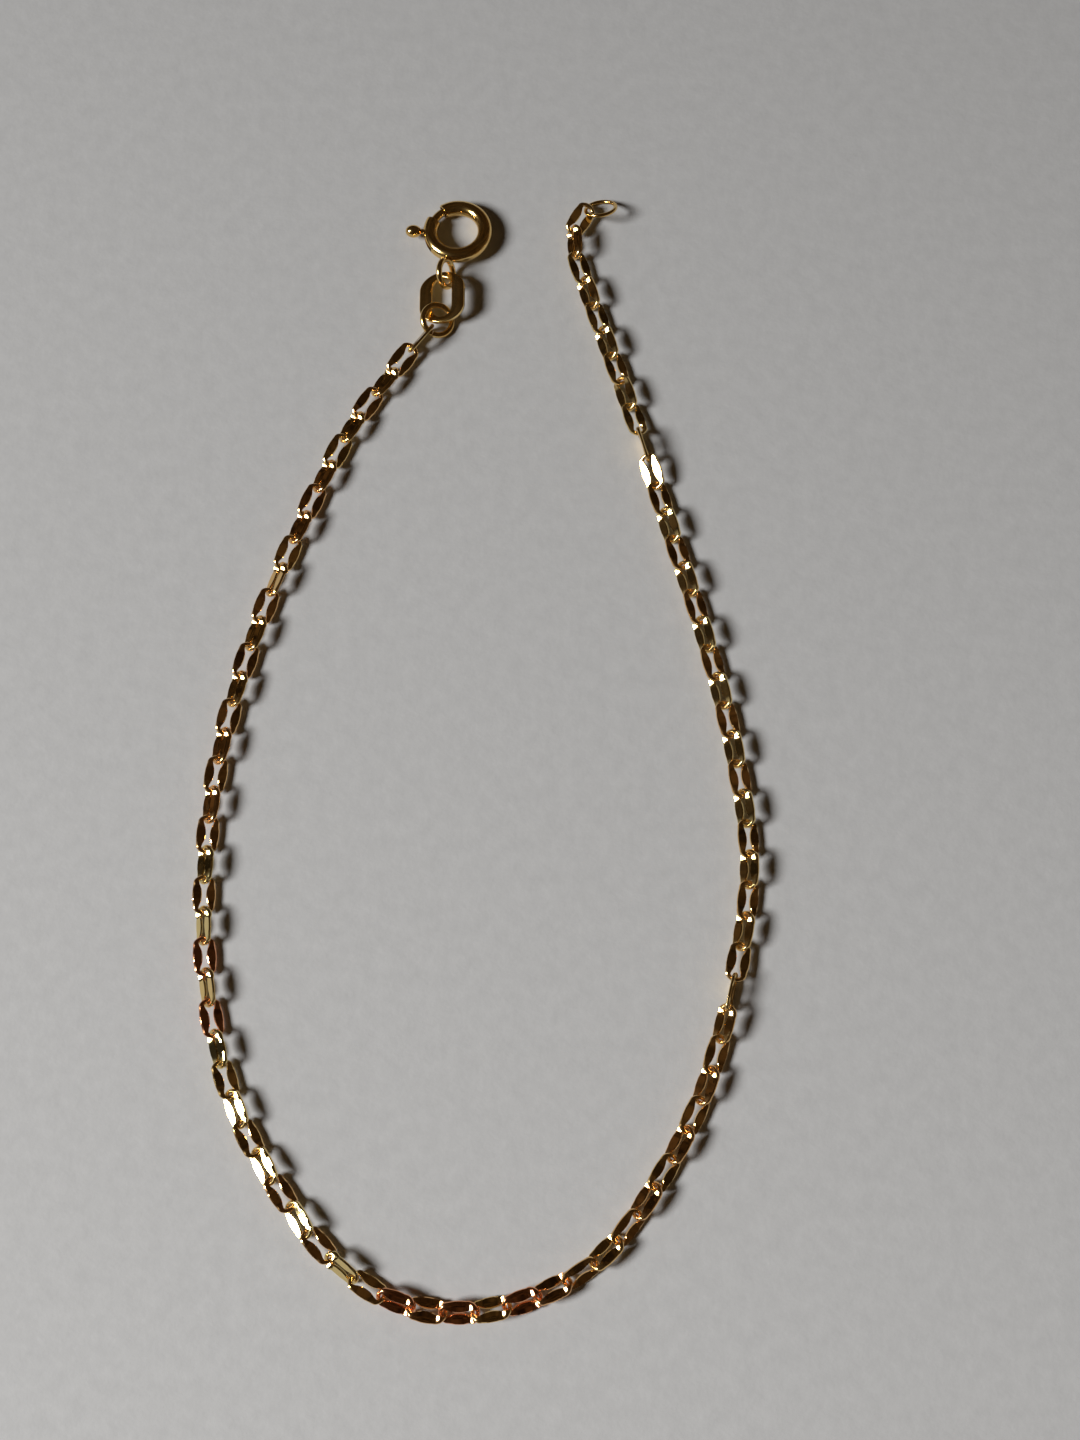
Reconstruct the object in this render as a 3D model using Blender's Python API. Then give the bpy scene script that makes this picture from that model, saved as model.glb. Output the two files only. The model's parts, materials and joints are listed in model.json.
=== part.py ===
"""Mirror link chain bracelet with a spring ring clasp, lying open on a flat surface.

Each link is an oval of round wire whose long sides are pressed into flat mirror petals. The
chain runs from a jump ring, which hangs on an oval tag, round to a small end ring. The tag
hangs on the loop of the spring ring. Lengths are in metres, +Z is up, and the bracelet rests
on the plane Z = 0, with its origin under the middle of its bounding box.
"""

import math

import bmesh
import bpy
from mathutils import Matrix, Vector

MM = 0.001

# Chain link
LINK_PITCH = 2.045 * MM
LINK_WIDTH = 1.55 * MM
LINK_WIRE = 0.30 * MM
SHOULDER_WIDTH = 1.32 * MM
SHOULDER_INSIDE = 0.53 * MM
SHOULDER_OUTSIDE = 0.40 * MM
END_FLAT = 0.34 * MM
PETAL_WIDTH = 0.62 * MM
PETAL_FLAT = 0.64 * MM
PETAL_THICKNESS = 0.20 * MM
JOINT_GAP = 0.05 * MM

# Last link, turned sharply towards the end ring
LAST_LINK_HEADING = 58.0
LAST_LINK_SLACK = 0.12 * MM

# End ring
END_RING_DIAMETER = 2.45 * MM
END_RING_WIRE = 0.28 * MM
END_RING_HEADING = 10.0
END_RING_TURN = -60.0
END_RING_SLACK = 0.10 * MM

# Jump ring between chain and tag
JUMP_RING_DIAMETER = 2.58 * MM
JUMP_RING_WIRE = 0.43 * MM
JUMP_RING_LEAN = 27.0
JUMP_RING_DOWNHILL = -25.0
JUMP_RING_HOLD = 230.0

# Oval tag plate
TAG_WIDTH = 3.40 * MM
TAG_LENGTH = 3.90 * MM
TAG_STRAIGHT = 1.30 * MM
TAG_THICKNESS = 0.34 * MM
TAG_HOLE_WIDTH = 1.50 * MM
TAG_HOLE_LENGTH = 3.00 * MM
TAG_LEAN = 15.0
TAG_HANG_ANGLE = -106.0
TAG_HANG_OFFSET = 0.0 * MM
TAG_LOOP_OFFSET = 0.30 * MM
LOOP_PULL = 0.02 * MM

# Spring ring case, with the loop soldered to its rim
CASE_DIAMETER = 5.00 * MM
CASE_TUBE = 1.06 * MM
CASE_BORE = 0.82 * MM
CASE_TURN = -12.6
GAP_START = 136.0
GAP_ANGLE = 29.0
LOOP_DIAMETER = 2.30 * MM
LOOP_WIRE = 0.42 * MM
LOOP_LEAN = 24.0
SOLDER_DEPTH = 0.12 * MM

# Bolt that slides in the case, with its stem and knob
BOLT_WIRE = 0.58 * MM
BOLT_GRIP = 8.0
BOLT_TAIL = 12.0
BOLT_TRAVEL = 36.0
KNOB_ANGLE = 191.0
STEM_WIRE = 0.35 * MM
STEM_TWIST = 13.0
KNOB_DIAMETER = 0.90 * MM
KNOB_LENGTH = 1.15 * MM
KNOB_GAP = 0.13 * MM

# Clearance between pieces that pass through each other, and how far the bore is cut past the gap
CLEARANCE = 0.05 * MM
SLOT_CLEARANCE = 0.08 * MM
BORE_RUN_OUT = 3.0

# Points that the chain lies through, from the jump ring to the last bend, in millimetres
CHAIN_ROUTE = [
    (-3.5, 29.1), (-5.6, 26.6), (-9.1, 21.6), (-12.5, 14.3), (-15.4, 6.5), (-17.4, -1.5),
    (-18.1, -9.8), (-17.5, -18.0), (-15.2, -25.6), (-10.7, -32.5), (-7.9, -35.2),
    (-4.7, -37.0), (-0.6, -37.6), (3.5, -36.8), (7.3, -34.9), (10.1, -32.1), (14.4, -25.0),
    (16.8, -17.4), (18.1, -9.6), (17.2, -1.3), (15.4, 6.5), (13.1, 14.4), (10.8, 22.3),
    (8.3, 30.0), (7.1, 33.7), (6.7, 35.2), (6.75, 36.5),
]

# Roll of the links about the chain: first link of the stretch, odd links, even links
LINK_ROLLS = [
    (1, 62.0, -25.0),
    (2, 43.0, -25.0),
    (37, 38.0, -30.0),
    (39, 34.0, -34.0),
    (45, 30.0, -38.0),
    (47, 25.0, -43.0),
    (53, 77.0, 13.0),
    (55, -43.0, 25.0),
    (71, -36.0, 84.0),
    (73, 25.0, -43.0),
    (79, 25.0, -58.0),
]
ROLL_WANDER = 2.0
ROLL_WANDER_STEP = 137.5

# Sections of a link: share across the wire, share of its half thickness
WIRE_SECTION = ((0.0, 0.62), (0.62, 1.0), (1.0, 0.0), (0.62, -1.0), (0.0, -0.62))
PETAL_SECTION = ((0.0, 1.0), (0.86, 1.0), (1.0, 0.0), (0.86, -1.0), (0.0, -1.0))

ROUTE_SAMPLES = 16
RING_STEPS = 28
RING_SIDES = 8
CASE_STEP_ANGLE = 9.0
CASE_SIDES = 12
TAG_END_STEPS = 10

GOLD = (0.86, 0.62, 0.27)


def clear_scene():
    """Remove every object of the open file."""
    for item in list(bpy.data.objects):
        bpy.data.objects.remove(item, do_unlink=True)


def make_gold(name, roughness):
    """Return a polished gold material."""
    material = bpy.data.materials.new(name)
    material.use_nodes = True
    shader = material.node_tree.nodes["Principled BSDF"]
    shader.inputs["Base Color"].default_value = (*GOLD, 1.0)
    shader.inputs["Metallic"].default_value = 1.0
    shader.inputs["Roughness"].default_value = roughness
    return material


def make_object(name, bm, material=None):
    """Turn a bmesh into a linked object with smooth shading broken at sharp edges."""
    bmesh.ops.recalc_face_normals(bm, faces=bm.faces)
    mesh = bpy.data.meshes.new(name)
    bm.to_mesh(mesh)
    bm.free()
    mesh.shade_smooth()
    mesh.set_sharp_from_angle(angle=math.radians(40.0))
    item = bpy.data.objects.new(name, mesh)
    bpy.context.collection.objects.link(item)
    if material:
        mesh.materials.append(material)
    return item


def make_helper(name, bm, parent):
    """Make a shape that only cuts or joins, and hide it."""
    item = make_object(name, bm)
    item.parent = parent
    item.hide_render = True
    item.display_type = "WIRE"
    return item


def add_boolean(item, helper, operation):
    """Cut or join a helper shape."""
    modifier = item.modifiers.new(helper.name, "BOOLEAN")
    modifier.operation = operation
    modifier.object = helper
    modifier.solver = "EXACT"


def spin_profile(bm, edges, start, end):
    """Spin a closed profile that lies in the XZ plane about Z, and close its ends."""
    full_turn = end - start >= 360.0
    steps = RING_STEPS if full_turn else max(2, round((end - start) / CASE_STEP_ANGLE))
    verts = list({vert for edge in edges for vert in edge.verts})
    bmesh.ops.rotate(bm, cent=(0, 0, 0), matrix=Matrix.Rotation(math.radians(start), 3, "Z"), verts=verts)
    bmesh.ops.spin(
        bm,
        geom=verts + edges,
        cent=(0, 0, 0),
        axis=(0, 0, 1),
        angle=math.radians(end - start),
        steps=steps,
        use_merge=full_turn,
    )
    if not full_turn:
        open_edges = [edge for edge in bm.edges if edge.is_boundary]
        bmesh.ops.holes_fill(bm, edges=open_edges, sides=0)


def ring_mesh(diameter, wire, sides=RING_SIDES, start=0.0, end=360.0):
    """Return a round wire bent about Z, whole or part of a turn; diameter is measured outside."""
    bm = bmesh.new()
    made = bmesh.ops.create_circle(bm, segments=sides, radius=wire / 2)
    upright = Matrix.Rotation(math.radians(90.0), 4, "X")
    place = Matrix.Translation(((diameter - wire) / 2, 0, 0)) @ upright
    bmesh.ops.transform(bm, matrix=place, verts=made["verts"])
    spin_profile(bm, list(bm.edges), start, end)
    return bm


def slot_mesh(inner, outer, height, start, end):
    """Return an arc of rectangular section about Z."""
    bm = bmesh.new()
    corners = [(inner, -height / 2), (outer, -height / 2), (outer, height / 2), (inner, height / 2)]
    verts = [bm.verts.new((x, 0, z)) for x, z in corners]
    edges = [bm.edges.new((verts[i], verts[(i + 1) % 4])) for i in range(4)]
    spin_profile(bm, edges, start, end)
    return bm


def oval_points(width, length, straight):
    """Return the outline of an oval with straight sides and elliptical ends."""
    rise = (length - straight) / 2
    points = []
    for side in (1, -1):
        for step in range(TAG_END_STEPS + 1):
            angle = math.pi * step / TAG_END_STEPS
            x = side * math.cos(angle) * width / 2
            y = side * (straight / 2 + math.sin(angle) * rise)
            points.append((x, y, 0.0))
    return points


def closed_loop(bm, points):
    """Add a closed line through points and return its edges."""
    verts = [bm.verts.new(point) for point in points]
    return [bm.edges.new((verts[i - 1], verts[i])) for i in range(len(verts))]


def link_frame(start, end, roll):
    """Return the matrix of a link between two joints: X along it, Y across its two petals."""
    along = (end - start).normalized()
    level = Vector((0, 0, 1)).cross(along).normalized()
    rise = along.cross(level)
    angle = math.radians(roll)
    across = math.cos(angle) * level + math.sin(angle) * rise
    normal = along.cross(across)
    middle = (start + end) / 2
    rotation = Matrix((along, across, normal)).transposed().to_4x4()
    return Matrix.Translation(middle) @ rotation


def link_stations():
    """Return the stations round a link: inner point, outer point, section and half thickness."""
    end = (LINK_PITCH + JOINT_GAP) / 2
    wire = LINK_WIRE / 2
    outside = end + LINK_WIRE
    shoulder_y = SHOULDER_WIDTH / 2
    petal_x = PETAL_FLAT / 2
    petal_y = LINK_WIDTH / 2
    end_points = ((end, END_FLAT / 2), (outside, (END_FLAT + LINK_WIRE / 2) / 2))
    shoulder_points = (
        (outside - SHOULDER_INSIDE, shoulder_y - LINK_WIRE),
        (outside - SHOULDER_OUTSIDE, shoulder_y),
    )
    petal_points = ((petal_x, petal_y - PETAL_WIDTH), (petal_x, petal_y))
    quarter = [
        (*end_points, WIRE_SECTION, wire),
        (*shoulder_points, WIRE_SECTION, wire),
        (*petal_points, PETAL_SECTION, PETAL_THICKNESS / 2),
    ]
    stations = []
    for mirror_x, mirror_y in ((1, 1), (-1, 1), (-1, -1), (1, -1)):
        ordered = quarter if mirror_x == mirror_y else quarter[::-1]
        for inner, outer, section, half in ordered:
            flip = Vector((mirror_x, mirror_y))
            stations.append((Vector(inner) * flip, Vector(outer) * flip, section, half))
    return stations


def add_link(bm, frame):
    """Add one link and return the inner faces at its two ends, the chain's start first."""
    rings = []
    for inner, outer, section, half in link_stations():
        ring = []
        for across, height in section:
            flat = inner.lerp(outer, across)
            ring.append(bm.verts.new(frame @ Vector((flat.x, flat.y, height * half))))
        rings.append(ring)
    inner_faces = []
    for index, ring in enumerate(rings):
        following = rings[(index + 1) % len(rings)]
        for corner in range(len(ring)):
            beside = (corner + 1) % len(ring)
            face = bm.faces.new((ring[corner], ring[beside], following[beside], following[corner]))
            if beside == 0:
                inner_faces.append(face)
    half_turn = len(rings) // 2
    return inner_faces[half_turn - 1], inner_faces[-1]


def join_faces(bm, first, second):
    """Replace two facing quads by a short neck, turned so that its corners run straightest."""
    near = list(first.verts)
    far = list(second.verts)[::-1]
    turns = [far[turn:] + far[:turn] for turn in range(4)]
    best = min(turns, key=lambda ring: sum((a.co - b.co).length for a, b in zip(near, ring)))
    bmesh.ops.delete(bm, geom=[first, second], context="FACES_ONLY")
    for index in range(4):
        beside = (index + 1) % 4
        bm.faces.new((near[index], near[beside], best[beside], best[index]))


def link_roll(number):
    """Return the roll of a link about the chain in degrees; the first link is number 1."""
    odd_roll, even_roll = [row[1:] for row in LINK_ROLLS if row[0] <= number][-1]
    roll = odd_roll if number % 2 else even_roll
    return roll + ROLL_WANDER * math.sin(math.radians(ROLL_WANDER_STEP) * number)


def link_rest_height(number):
    """Return the height of a link's middle when its lower petal touches the surface."""
    roll = math.radians(link_roll(number))
    return (LINK_WIDTH * abs(math.sin(roll)) + PETAL_THICKNESS * math.cos(roll)) / 2


def smooth_route():
    """Return closely spaced points on a smooth curve through the route's own points."""
    marks = [Vector((x * MM, y * MM, 0.0)) for x, y in CHAIN_ROUTE]
    marks.insert(0, 2 * marks[0] - marks[1])
    marks.append(2 * marks[-1] - marks[-2])
    curve = []
    for before, start, end, after in zip(marks, marks[1:], marks[2:], marks[3:]):
        chord = (end - start).length
        leave = (end - before) * chord / ((start - before).length + chord)
        arrive = (after - start) * chord / ((after - end).length + chord)
        for step in range(ROUTE_SAMPLES):
            t = step / ROUTE_SAMPLES
            place = (2 * t**3 - 3 * t**2 + 1) * start + (3 * t**2 - 2 * t**3) * end
            place += (t**3 - 2 * t**2 + t) * leave + (t**3 - t**2) * arrive
            curve.append(place)
    curve.append(marks[-2])
    return curve


def chain_joints(start_height):
    """Return the joints between links, evenly spaced on the route, with the last link's far end."""
    curve = smooth_route()
    lengths = [0.0]
    for start, end in zip(curve, curve[1:]):
        lengths.append(lengths[-1] + (end - start).length)
    count = math.ceil(lengths[-1] / LINK_PITCH)
    joints = []
    piece = 0
    for number in range(count + 1):
        wanted = lengths[-1] * number / count
        while piece < len(curve) - 2 and lengths[piece + 1] < wanted:
            piece += 1
        share = (wanted - lengths[piece]) / (lengths[piece + 1] - lengths[piece])
        joints.append(curve[piece].lerp(curve[piece + 1], min(share, 1.0)))
    heading = math.radians(LAST_LINK_HEADING)
    direction = Vector((math.cos(heading), math.sin(heading), 0.0))
    joints.append(joints[-1] + direction * LINK_PITCH)
    rests = [start_height] + [link_rest_height(number + 1) for number in range(count + 1)]
    rests.append(end_ring_height(count + 1))
    for joint, before, after in zip(joints, rests, rests[1:]):
        joint.z = max(before, after)
    return joints


def build_chain(name, joints, numbers, material):
    """Build a stretch of chain, its links fused by short necks where they bear on each other."""
    bm = bmesh.new()
    previous = None
    for number in numbers:
        start, end = joints[number - 1], joints[number]
        frame = link_frame(start, end, link_roll(number))
        if number == len(joints) - 1:
            frame = Matrix.Translation((start - end).normalized() * LAST_LINK_SLACK) @ frame
        first, last = add_link(bm, frame)
        if previous:
            join_faces(bm, previous, first)
        previous = last
    return make_object(name, bm, material)


def build_jump_ring(joints, material):
    """Build the jump ring so that its wire lies in the first link's end."""
    radius = (JUMP_RING_DIAMETER - JUMP_RING_WIRE) / 2
    hold = math.radians(JUMP_RING_HOLD)
    lean = jump_ring_lean()
    along = (joints[1] - joints[0]).normalized()
    wire_point = joints[0] + along * (JUMP_RING_WIRE / 2 + CLEARANCE)
    centre = wire_point - lean @ Vector((radius * math.cos(hold), radius * math.sin(hold), 0.0))
    ring = make_object("jump_ring", ring_mesh(JUMP_RING_DIAMETER, JUMP_RING_WIRE), material)
    ring.matrix_world = Matrix.Translation(centre) @ lean.to_4x4()
    return ring


def jump_ring_lean():
    """Return the rotation that leans the jump ring downhill."""
    downhill = math.radians(JUMP_RING_DOWNHILL)
    axis = Vector((-math.sin(downhill), math.cos(downhill), 0.0))
    return Matrix.Rotation(math.radians(JUMP_RING_LEAN), 3, axis)


def jump_ring_hold_height():
    """Return the height of the jump ring's wire where the chain hangs on it."""
    radius = (JUMP_RING_DIAMETER - JUMP_RING_WIRE) / 2
    hold = math.radians(JUMP_RING_HOLD)
    centre_height = JUMP_RING_WIRE / 2 + radius * math.sin(math.radians(JUMP_RING_LEAN))
    offset = jump_ring_lean() @ Vector((radius * math.cos(hold), radius * math.sin(hold), 0.0))
    return centre_height + offset.z


def build_tag(jump_ring, material):
    """Build the oval tag, with the jump ring's centre in its mid plane beside the hole."""
    bm = bmesh.new()
    outer = closed_loop(bm, oval_points(TAG_WIDTH, TAG_LENGTH, TAG_STRAIGHT))
    inner = closed_loop(bm, oval_points(TAG_HOLE_WIDTH, TAG_HOLE_LENGTH, TAG_STRAIGHT))
    top = bmesh.ops.bridge_loops(bm, edges=outer + inner)["faces"]
    bmesh.ops.translate(bm, vec=(0, 0, TAG_THICKNESS / 2), verts=bm.verts)
    lower = bmesh.ops.extrude_face_region(bm, geom=top)["geom"]
    lower_verts = [item for item in lower if isinstance(item, bmesh.types.BMVert)]
    bmesh.ops.translate(bm, vec=(0, 0, -TAG_THICKNESS), verts=lower_verts)
    tag = make_object("tag_plate", bm, material)
    angle = math.radians(TAG_HANG_ANGLE)
    hang_x = math.cos(angle) * ((TAG_WIDTH + TAG_HOLE_WIDTH) / 4 + TAG_HANG_OFFSET)
    band_rise = (TAG_LENGTH + TAG_HOLE_LENGTH) / 4 - TAG_STRAIGHT / 2
    hang_y = math.sin(angle) * (band_rise + TAG_HANG_OFFSET) - TAG_STRAIGHT / 2
    lean = Matrix.Rotation(math.radians(-TAG_LEAN), 4, "Y")
    place = Matrix.Translation(jump_ring.matrix_world.translation)
    tag.matrix_world = place @ lean @ Matrix.Translation((-hang_x, -hang_y, 0.0))
    return tag


def clasp_frame(tag):
    """Return an empty at the spring ring's centre, tipped so that its far rim and loop both rest."""
    band_y = (TAG_LENGTH + TAG_HOLE_LENGTH) / 4
    lean = math.radians(LOOP_LEAN)
    rest_height = (LOOP_DIAMETER - LOOP_WIRE) / 2 * math.cos(lean) + LOOP_WIRE / 2
    loop_centre = tag.matrix_world @ Vector((TAG_LOOP_OFFSET, band_y + LOOP_PULL, 0.0))
    loop_centre.z = rest_height
    reach = loop_distance() + (CASE_DIAMETER - CASE_TUBE) / 2
    tip = math.asin((rest_height - CASE_TUBE / 2) / reach)
    turn = Matrix.Rotation(math.radians(CASE_TURN), 4, "Z") @ Matrix.Rotation(-tip, 4, "X")
    frame = bpy.data.objects.new("clasp_axis", None)
    bpy.context.collection.objects.link(frame)
    frame.matrix_world = Matrix.Translation(loop_centre) @ turn @ Matrix.Translation((0, loop_distance(), 0))
    return frame


def loop_distance():
    """Return the distance between the centres of the spring ring and its loop."""
    return (CASE_DIAMETER + LOOP_DIAMETER) / 2 - SOLDER_DEPTH


def build_case(frame, material):
    """Build the hollow spring ring with its gap, the knob's slot and the soldered loop."""
    case_bm = ring_mesh(CASE_DIAMETER, CASE_TUBE, CASE_SIDES, GAP_START + GAP_ANGLE, GAP_START + 360.0)
    case = make_object("clasp_case", case_bm, material)
    case.parent = frame
    loop = make_helper("loop_join", ring_mesh(LOOP_DIAMETER, LOOP_WIRE), frame)
    upright = Matrix.Rotation(math.radians(90.0 - LOOP_LEAN), 4, "Y")
    loop.matrix_local = Matrix.Translation((0, -loop_distance(), 0)) @ upright
    add_boolean(case, loop, "UNION")
    bore_diameter = CASE_DIAMETER - CASE_TUBE + CASE_BORE
    bore_start = GAP_START + GAP_ANGLE - BORE_RUN_OUT
    bore_end = GAP_START + 360.0 + BORE_RUN_OUT
    bore_bm = ring_mesh(bore_diameter, CASE_BORE, RING_SIDES, bore_start, bore_end)
    add_boolean(case, make_helper("bore_cut", bore_bm, frame), "DIFFERENCE")
    slot_height = STEM_WIRE + 2 * SLOT_CLEARANCE
    slot_margin = math.degrees(slot_height / CASE_DIAMETER)
    slot_bm = slot_mesh(
        (CASE_DIAMETER - CASE_TUBE) / 2,
        CASE_DIAMETER / 2 + CLEARANCE,
        slot_height,
        KNOB_ANGLE - slot_margin,
        KNOB_ANGLE + BOLT_TRAVEL + slot_margin,
    )
    add_boolean(case, make_helper("slot_cut", slot_bm, frame), "DIFFERENCE")


def build_bolt(frame, material):
    """Build the bolt in its closed place: a bent wire with a stem and a knob, in one piece."""
    path_diameter = CASE_DIAMETER - CASE_TUBE + BOLT_WIRE
    wire_bm = ring_mesh(path_diameter, BOLT_WIRE, RING_SIDES, GAP_START - BOLT_GRIP, KNOB_ANGLE + BOLT_TAIL)
    bolt = make_object("clasp_bolt", wire_bm, material)
    bolt.parent = frame
    outward = Matrix.Rotation(math.radians(KNOB_ANGLE), 4, "Z") @ Matrix.Rotation(math.radians(90.0), 4, "Y")
    path_radius = (CASE_DIAMETER - CASE_TUBE) / 2
    knob_centre = CASE_DIAMETER / 2 + KNOB_GAP + KNOB_LENGTH / 2
    stem_bm = bmesh.new()
    stem_middle = (path_radius + knob_centre) / 2
    stem_twist = Matrix.Rotation(math.radians(STEM_TWIST), 4, "Z")
    bmesh.ops.create_cone(
        stem_bm,
        cap_ends=True,
        segments=RING_SIDES,
        radius1=STEM_WIRE / 2,
        radius2=STEM_WIRE / 2,
        depth=knob_centre - path_radius,
        matrix=outward @ Matrix.Translation((0, 0, stem_middle)) @ stem_twist,
    )
    add_boolean(bolt, make_helper("stem_join", stem_bm, frame), "UNION")
    knob_bm = bmesh.new()
    stretch = Matrix.Diagonal((1.0, 1.0, KNOB_LENGTH / KNOB_DIAMETER, 1.0))
    bmesh.ops.create_uvsphere(
        knob_bm,
        u_segments=12,
        v_segments=8,
        radius=KNOB_DIAMETER / 2,
        matrix=outward @ Matrix.Translation((0, 0, knob_centre)) @ stretch,
    )
    add_boolean(bolt, make_helper("knob_join", knob_bm, frame), "UNION")


def end_ring_roll(last_number):
    """Return the end ring's roll, which follows the roll of the last link."""
    return link_roll(last_number) + END_RING_TURN


def end_ring_height(last_number):
    """Return the height at which the rolled end ring's centre rests."""
    radius = (END_RING_DIAMETER - END_RING_WIRE) / 2
    return radius * abs(math.sin(math.radians(end_ring_roll(last_number)))) + END_RING_WIRE / 2


def build_end_ring(joints, material):
    """Build the end ring so that its wire lies loosely in the last link's end."""
    start, end = joints[-2], joints[-1]
    along = (end - start).normalized()
    slack = END_RING_WIRE / 2 + CLEARANCE + END_RING_SLACK + LAST_LINK_SLACK
    hold = end - along * slack
    heading = math.radians(END_RING_HEADING)
    outward = Vector((math.cos(heading), math.sin(heading), 0.0))
    diameter = END_RING_DIAMETER - END_RING_WIRE
    ring = make_object("end_ring", ring_mesh(END_RING_DIAMETER, END_RING_WIRE), material)
    ring.matrix_world = link_frame(hold, hold + outward * diameter, end_ring_roll(len(joints) - 1))
    return ring


def stand_on_origin():
    """Move the bracelet so that its bounding box stands on the origin."""
    bpy.context.view_layer.update()
    graph = bpy.context.evaluated_depsgraph_get()
    corners = []
    for item in bpy.data.objects:
        if item.type == "MESH" and not item.hide_render:
            solid = item.evaluated_get(graph)
            corners += [solid.matrix_world @ vert.co for vert in solid.data.vertices]
    low = [min(corner[axis] for corner in corners) for axis in range(3)]
    high = [max(corner[axis] for corner in corners) for axis in range(3)]
    shift = Vector(((low[0] + high[0]) / 2, (low[1] + high[1]) / 2, low[2]))
    for item in bpy.data.objects:
        if item.parent is None:
            item.location -= shift


def main():
    """Build the whole bracelet."""
    clear_scene()
    mirror_gold = make_gold("mirror gold", 0.06)
    polished_gold = make_gold("polished gold", 0.12)
    joints = chain_joints(jump_ring_hold_height())
    link_count = len(joints) - 1
    half = link_count // 2
    build_chain("chain_clasp_side", joints, range(1, half + 1), mirror_gold)
    build_chain("chain_ring_side", joints, range(half + 1, link_count + 1), mirror_gold)
    jump_ring = build_jump_ring(joints, polished_gold)
    tag = build_tag(jump_ring, polished_gold)
    frame = clasp_frame(tag)
    build_case(frame, polished_gold)
    build_bolt(frame, polished_gold)
    build_end_ring(joints, polished_gold)
    stand_on_origin()


main()
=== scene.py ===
"""Looks of a mirror link chain bracelet that lies open on pale paper.

The links, the rings, the tag and the spring ring clasp are modelled smooth, each in the
place of its solid in the frame. Lengths are in metres and +Z is up.
"""

from __future__ import annotations

import json
import logging
import math
import random
from collections.abc import Sequence
from dataclasses import dataclass, field
from enum import Enum
from typing import ClassVar

import bmesh
import bpy
from mathutils import Matrix, Vector


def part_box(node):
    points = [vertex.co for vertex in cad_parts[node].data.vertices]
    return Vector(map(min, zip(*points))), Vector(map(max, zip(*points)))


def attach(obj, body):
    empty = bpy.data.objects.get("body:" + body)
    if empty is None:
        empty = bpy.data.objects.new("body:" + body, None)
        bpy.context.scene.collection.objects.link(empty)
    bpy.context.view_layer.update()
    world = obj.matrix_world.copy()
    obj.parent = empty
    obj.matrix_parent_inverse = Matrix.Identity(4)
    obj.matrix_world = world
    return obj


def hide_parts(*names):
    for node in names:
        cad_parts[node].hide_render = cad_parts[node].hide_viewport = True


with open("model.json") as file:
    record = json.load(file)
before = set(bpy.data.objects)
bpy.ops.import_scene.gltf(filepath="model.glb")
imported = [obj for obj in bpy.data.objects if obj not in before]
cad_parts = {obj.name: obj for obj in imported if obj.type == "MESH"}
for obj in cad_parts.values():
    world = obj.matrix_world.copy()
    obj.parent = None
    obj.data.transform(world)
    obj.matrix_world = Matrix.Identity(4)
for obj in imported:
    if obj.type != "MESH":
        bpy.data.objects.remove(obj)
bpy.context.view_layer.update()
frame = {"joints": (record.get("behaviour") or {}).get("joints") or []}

MM = 0.001
LIP_SHARE = 0.08
log = logging.getLogger("bracelet")


class Body(Enum):
    """Bodies of the frame that the pieces ride on."""

    BRACELET = "bracelet"
    BOLT = "bolt"


class Slot(Enum):
    """Material slots of the frame's record."""

    MIRROR = "mirror_gold"
    POLISHED = "polished_gold"


class Layer(Enum):
    """Point attributes that the links' finish reads."""

    PETAL = "petal"
    TINT = "tint"


def new_tree(name: str) -> tuple[bpy.types.Material, bpy.types.NodeTree, bpy.types.Node]:
    """Start a node material.

    Args:
        name: Name of the material.

    Returns:
        The material, its node tree and its Principled shader.
    """
    material = bpy.data.materials.new(name)
    material.use_nodes = True
    tree = material.node_tree
    return material, tree, tree.nodes["Principled BSDF"]


def noise(tree: bpy.types.NodeTree, scale: float, detail: float, stretch: Sequence[float]) -> bpy.types.Node:
    """Add a noise texture on Object coordinates.

    Args:
        tree: Node tree to add to.
        scale: Noise scale per metre.
        detail: Octaves of detail.
        stretch: Scale of the three axes, before the noise.

    Returns:
        The noise node.
    """
    place = tree.nodes.new("ShaderNodeTexCoord")
    mapping = tree.nodes.new("ShaderNodeMapping")
    mapping.inputs["Scale"].default_value = tuple(stretch)
    texture = tree.nodes.new("ShaderNodeTexNoise")
    texture.inputs["Scale"].default_value = scale
    texture.inputs["Detail"].default_value = detail
    tree.links.new(place.outputs["Object"], mapping.inputs["Vector"])
    tree.links.new(mapping.outputs["Vector"], texture.inputs["Vector"])
    return texture


def ramp(
    tree: bpy.types.NodeTree, source: bpy.types.NodeSocket, stops: Sequence[tuple[float, Sequence[float]]]
) -> bpy.types.Node:
    """Add a colour ramp after a value.

    Args:
        tree: Node tree to add to.
        source: Socket that drives the ramp.
        stops: Place and colour of each stop.

    Returns:
        The ramp node.
    """
    node = tree.nodes.new("ShaderNodeValToRGB")
    elements = node.color_ramp.elements
    while len(elements) < len(stops):
        elements.new(0.5)
    for element, (place, colour) in zip(elements, stops):
        element.position = place
        element.color = (*colour, 1.0)
    tree.links.new(source, node.inputs["Fac"])
    return node


def spread(tree: bpy.types.NodeTree, source: bpy.types.NodeSocket, low: float, high: float) -> bpy.types.Node:
    """Map a value of 0 to 1 onto a range.

    Args:
        tree: Node tree to add to.
        source: Socket to map.
        low: Result at 0.
        high: Result at 1.

    Returns:
        The Map Range node.
    """
    node = tree.nodes.new("ShaderNodeMapRange")
    node.inputs["To Min"].default_value = low
    node.inputs["To Max"].default_value = high
    tree.links.new(source, node.inputs["Value"])
    return node


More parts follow.
